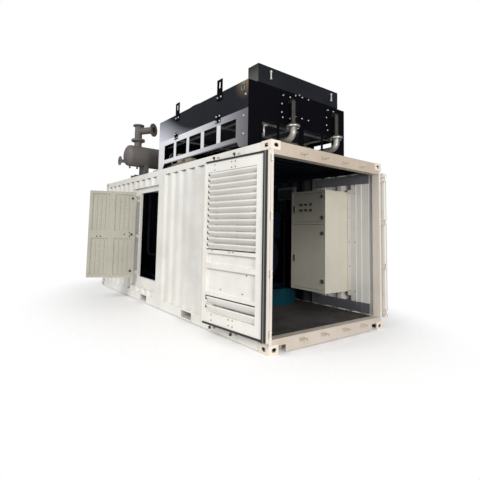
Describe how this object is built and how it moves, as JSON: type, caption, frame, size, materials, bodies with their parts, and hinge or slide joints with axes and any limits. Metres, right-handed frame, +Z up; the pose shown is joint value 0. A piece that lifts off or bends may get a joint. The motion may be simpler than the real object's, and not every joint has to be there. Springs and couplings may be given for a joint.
{
  "type": "containerised gas generating set",
  "caption": "Containerised generating set: a corrugated steel box with louvred end doors, a walk-in side door, a roof cooler and a silencer.",
  "frame": {"origin": "centre of the four ground slots of the corner castings, at ground level", "axes": "+X towards the end with the double doors, +Y away from the side with the walk-in door, +Z up"},
  "size_m": [6.145, 3.5344, 3.875],
  "materials": {
    "white_paint": "satin",
    "cream_paint": "satin",
    "floor_board": "worn matt",
    "sage_paint": "satin",
    "rubber_black": "matt",
    "zinc_steel": "galvanised",
    "cabinet_paint": "powder coat",
    "black_plastic": "matt",
    "teal_paint": "gloss",
    "blue_paint": "gloss",
    "cast_grey": "painted",
    "black_paint": "satin",
    "core_fins": "matt fins",
    "taupe_paint": "matt"
  },
  "bodies": {
    "container": {"ground_castings": "cream_paint", "roof_castings": "cream_paint", "corner_posts": "cream_paint", "post_hinges": "cream_paint", "near_bottom_rail": "white_paint", "far_bottom_rail": "white_paint", "fork_tunnels": "white_paint", "crossmembers": "cream_paint", "blind_end_sill": "white_paint", "door_sill": "cream_paint", "floor": "floor_board", "top_rails": "white_paint", "door_header": "cream_paint", "near_wall_blind_end": "white_paint", "near_wall_door_end": "white_paint", "near_wall_lintel": "white_paint", "far_wall": "white_paint", "blind_end_wall": "white_paint", "roof_sheet": "white_paint", "side_door_frame": "white_paint", "cabinet_case": "cabinet_paint", "cabinet_brackets": "white_paint", "skid": "teal_paint", "alternator": "blue_paint", "engine": "cast_grey", "riser_pipe": "zinc_steel", "cooler_near_side": "black_paint", "cooler_far_side": "black_paint", "cooler_ends": "black_paint", "cooler_feet": "black_paint", "cooler_core": "core_fins", "cooler_deck": "black_paint", "cooler_fan": "black_paint", "cooler_lugs": "black_paint", "header_tank": "black_paint", "water_pipes": "zinc_steel", "silencer": "taupe_paint", "silencer_saddles": "taupe_paint", "silencer_tee": "taupe_paint"},
    "near_end_door_leaf": {"near_end_door": "white_paint", "near_door_louvres": "white_paint", "near_door_seal": "rubber_black", "near_lock_rods": "zinc_steel"},
    "far_end_door_leaf": {"far_end_door": "white_paint", "far_door_louvres": "white_paint", "far_door_seal": "rubber_black", "far_lock_rods": "zinc_steel"},
    "side_door": {"side_door_leaf": "sage_paint"},
    "cabinet_upper": {"cabinet_upper_door": "cabinet_paint", "cabinet_buttons": "black_plastic"},
    "cabinet_lower": {"cabinet_lower_door": "cabinet_paint"}
  },
  "joints": [
    {"name": "near_end_door_hinge", "type": "hinge", "parent": "container", "child": "near_end_door_leaf", "pos_m": [3.086, -1.249, 1.3], "axis": [0, 0, 1], "range_deg": [0, 264.7]},
    {"name": "far_end_door_hinge", "type": "hinge", "parent": "container", "child": "far_end_door_leaf", "pos_m": [3.086, 1.249, 1.3], "axis": [0, 0, -1], "range_deg": [0, 264.7]},
    {"name": "side_door_hinge", "type": "hinge", "parent": "container", "child": "side_door", "pos_m": [-0.99, -1.222, 1.3], "axis": [0, 0, 1], "range_deg": [-50, 114.9]},
    {"name": "cabinet_upper_hinge", "type": "hinge", "parent": "container", "child": "cabinet_upper", "pos_m": [2.425, 0.541, 1.9], "axis": [0, 0, 1], "range_deg": [0, 110]},
    {"name": "cabinet_lower_hinge", "type": "hinge", "parent": "container", "child": "cabinet_lower", "pos_m": [2.425, 0.541, 1.05], "axis": [0, 0, 1], "range_deg": [0, 110]}
  ]
}
